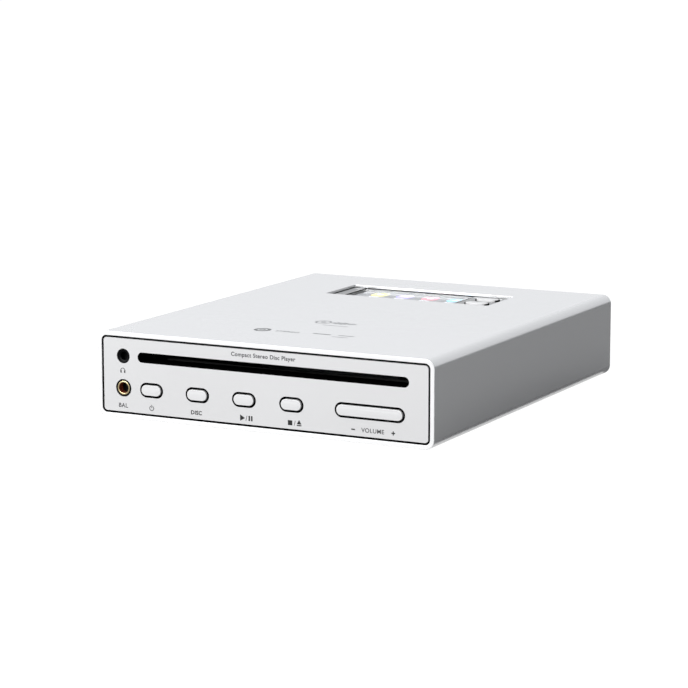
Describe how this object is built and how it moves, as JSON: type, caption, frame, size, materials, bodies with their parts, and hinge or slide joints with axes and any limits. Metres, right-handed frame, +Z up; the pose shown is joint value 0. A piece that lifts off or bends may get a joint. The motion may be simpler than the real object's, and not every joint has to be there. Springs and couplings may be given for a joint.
{
  "type": "slot-loading disc player",
  "caption": "Compact slot-loading audio disc player in an aluminium sleeve, with front keys, a volume rocker, headphone jacks and a display window in the top.",
  "frame": {"origin": "middle of the base, on the plane that the feet rest on", "axes": "+Z up, +Y towards the rear panel, +X to the right when facing the front panel"},
  "size_m": [0.154, 0.1864, 0.0375],
  "materials": {
    "sleeve": "bead blasted and clear anodised, satin",
    "front_plate": "fine satin anodised, light silver",
    "rear_plate": "satin anodised",
    "key_caps": "satin white silver",
    "black_gasket": "matt",
    "foot_rubber": "matt, fine grain",
    "screw_steel": "dark plated",
    "tray_steel": "zinc plated",
    "board_green": "solder mask",
    "switch_black": "moulded",
    "jack_black": "moulded",
    "gold_plate": "gold plated",
    "guide_black": "moulded",
    "felt": "short pile",
    "bezel_grey": "satin grey",
    "window_glass": "smoked, polished",
    "display_dark": "lit display",
    "ribbon": "polyimide film",
    "cell_wrap": "shrink wrap",
    "chip_black": "epoxy",
    "capacitor_gold": "sleeved can",
    "tin_plate": "tinned",
    "loader_steel": "galvanised sheet",
    "grommet_rubber": "soft silicone",
    "roller_rubber": "ground",
    "gear_plastic": "acetal",
    "belt_rubber": "ground",
    "motor_can": "drawn can",
    "slider_plastic": "acetal",
    "clamp_plastic": "moulded",
    "traverse_plastic": "glass filled",
    "shaft_steel": "ground",
    "lens_clear": "coated"
  },
  "bodies": {
    "case": {"main_housing": "sleeve", "front_panel": "front_plate", "panel_gasket": "black_gasket", "rear_panel": "rear_plate", "rear_screws": "screw_steel", "rubber_feet": "foot_rubber", "foot_screws": "screw_steel", "chassis_tray": "tray_steel", "front_board": "board_green", "front_switches": "switch_black", "headphone_jack": "jack_black", "balanced_jack": "jack_black", "balanced_jack_ring": "gold_plate", "jack_board": "board_green", "slot_guide": "guide_black", "slot_felts": "felt", "display_bezel": "bezel_grey", "display_glass": "window_glass", "display_panel": "display_dark", "top_board": "board_green", "top_switches": "switch_black", "display_ribbon": "ribbon", "battery_pack": "cell_wrap", "main_board": "board_green", "board_chips": "chip_black", "capacitors": "capacitor_gold", "shield_can": "tin_plate", "usb_socket": "tin_plate", "optical_socket": "switch_black", "coaxial_jack": "jack_black", "line_out_jack": "jack_black", "loader_base": "loader_steel", "loader_lid": "loader_steel", "damper_grommets": "grommet_rubber", "damper_screws": "screw_steel", "loading_motor": "motor_can"},
    "power_key": {"power_button": "key_caps"},
    "source_key": {"source_button": "key_caps"},
    "play_key": {"play_button": "key_caps"},
    "stop_key": {"stop_button": "key_caps"},
    "volume_key": {"volume_rocker": "key_caps"},
    "skip_back_key": {"skip_back_button": "key_caps"},
    "skip_forward_key": {"skip_forward_button": "key_caps"},
    "arm": {"roller_arm": "loader_steel", "drive_belt": "belt_rubber"},
    "roller": {"feed_roller": "roller_rubber", "roller_pulley": "gear_plastic"},
    "gear": {"drive_gear": "gear_plastic"},
    "pinion": {"motor_pinion": "gear_plastic"},
    "slider": {"cam_slider": "slider_plastic"},
    "clamp": {"clamp_arm": "loader_steel"},
    "puck": {"clamp_puck": "clamp_plastic"},
    "traverse": {"traverse_frame": "traverse_plastic", "spindle_motor": "motor_can", "guide_rods": "shaft_steel", "sled_motor": "motor_can"},
    "platter": {"turntable": "clamp_plastic"},
    "screw": {"lead_screw": "shaft_steel"},
    "sled": {"pickup_sled": "traverse_plastic"},
    "lens": {"pickup_lens": "lens_clear"}
  },
  "joints": [
    {"name": "power_press", "type": "slide", "parent": "case", "child": "power_key", "axis": [0, 1, 0], "range_m": [0, 0.0006], "stiffness_N_per_m": 800},
    {"name": "source_press", "type": "slide", "parent": "case", "child": "source_key", "axis": [0, 1, 0], "range_m": [0, 0.0006], "stiffness_N_per_m": 800},
    {"name": "play_press", "type": "slide", "parent": "case", "child": "play_key", "axis": [0, 1, 0], "range_m": [0, 0.0006], "stiffness_N_per_m": 800},
    {"name": "stop_press", "type": "slide", "parent": "case", "child": "stop_key", "axis": [0, 1, 0], "range_m": [0, 0.0006], "stiffness_N_per_m": 800},
    {"name": "skip_back_press", "type": "slide", "parent": "case", "child": "skip_back_key", "axis": [0, 0, -1], "range_m": [0, 0.0005], "stiffness_N_per_m": 800},
    {"name": "skip_forward_press", "type": "slide", "parent": "case", "child": "skip_forward_key", "axis": [0, 0, -1], "range_m": [0, 0.0005], "stiffness_N_per_m": 800},
    {"name": "volume_rock", "type": "hinge", "parent": "case", "child": "volume_key", "pos_m": [0.0488, -0.0882, 0.0141], "axis": [0, 0, 1], "range_deg": [-1.6, 1.6], "stiffness_Nm_per_rad": 0.1},
    {"name": "arm_swing", "type": "hinge", "parent": "case", "child": "arm", "pos_m": [0.004, -0.061, 0.01956], "axis": [-1, 0, 0], "range_deg": [0, 7]},
    {"name": "roller_spin", "type": "hinge", "parent": "arm", "child": "roller", "pos_m": [0.004, -0.0758, 0.022], "axis": [1, 0, 0], "continuous": true},
    {"name": "gear_spin", "type": "hinge", "parent": "case", "child": "gear", "pos_m": [0.004, -0.061, 0.01956], "axis": [1, 0, 0], "continuous": true},
    {"name": "pinion_spin", "type": "hinge", "parent": "case", "child": "pinion", "pos_m": [0.004, -0.0475, 0.01956], "axis": [1, 0, 0], "continuous": true},
    {"name": "cam_slide", "type": "slide", "parent": "case", "child": "slider", "axis": [0, 1, 0], "range_m": [0, 0.012]},
    {"name": "traverse_lift", "type": "slide", "parent": "case", "child": "traverse", "axis": [0, 0, 1], "range_m": [0, 0.0032]},
    {"name": "clamp_swing", "type": "hinge", "parent": "case", "child": "clamp", "pos_m": [0.004, 0.0532, 0.0297], "axis": [1, 0, 0], "range_deg": [0, 1.55]},
    {"name": "puck_spin", "type": "hinge", "parent": "clamp", "child": "puck", "pos_m": [0.004, -0.0108, 0.0305], "axis": [0, 0, 1], "continuous": true},
    {"name": "platter_spin", "type": "hinge", "parent": "traverse", "child": "platter", "pos_m": [0.004, -0.0108, 0.0235], "axis": [0, 0, 1], "continuous": true},
    {"name": "sled_slide", "type": "slide", "parent": "traverse", "child": "sled", "axis": [0, 1, 0], "range_m": [0, 0.034]},
    {"name": "screw_turn", "type": "hinge", "parent": "traverse", "child": "screw", "pos_m": [0.037, 0.0072, 0.0185], "axis": [0, 1, 0], "range_deg": [0, 4090]},
    {"name": "lens_focus", "type": "slide", "parent": "sled", "child": "lens", "axis": [0, 0, 1], "range_m": [-0.0004, 0.0004], "stiffness_N_per_m": 200}
  ],
  "couplings": [
    {"joint": "gear_spin", "follows": "roller_spin", "ratio": 1},
    {"joint": "pinion_spin", "follows": "roller_spin", "ratio": -2},
    {"joint": "traverse_lift", "follows": "cam_slide", "ratio": 0.26667},
    {"joint": "clamp_swing", "follows": "cam_slide", "rad_per_m": 2.2},
    {"joint": "puck_spin", "follows": "platter_spin", "ratio": 1},
    {"joint": "screw_turn", "follows": "sled_slide", "rad_per_m": 2094.4}
  ]
}
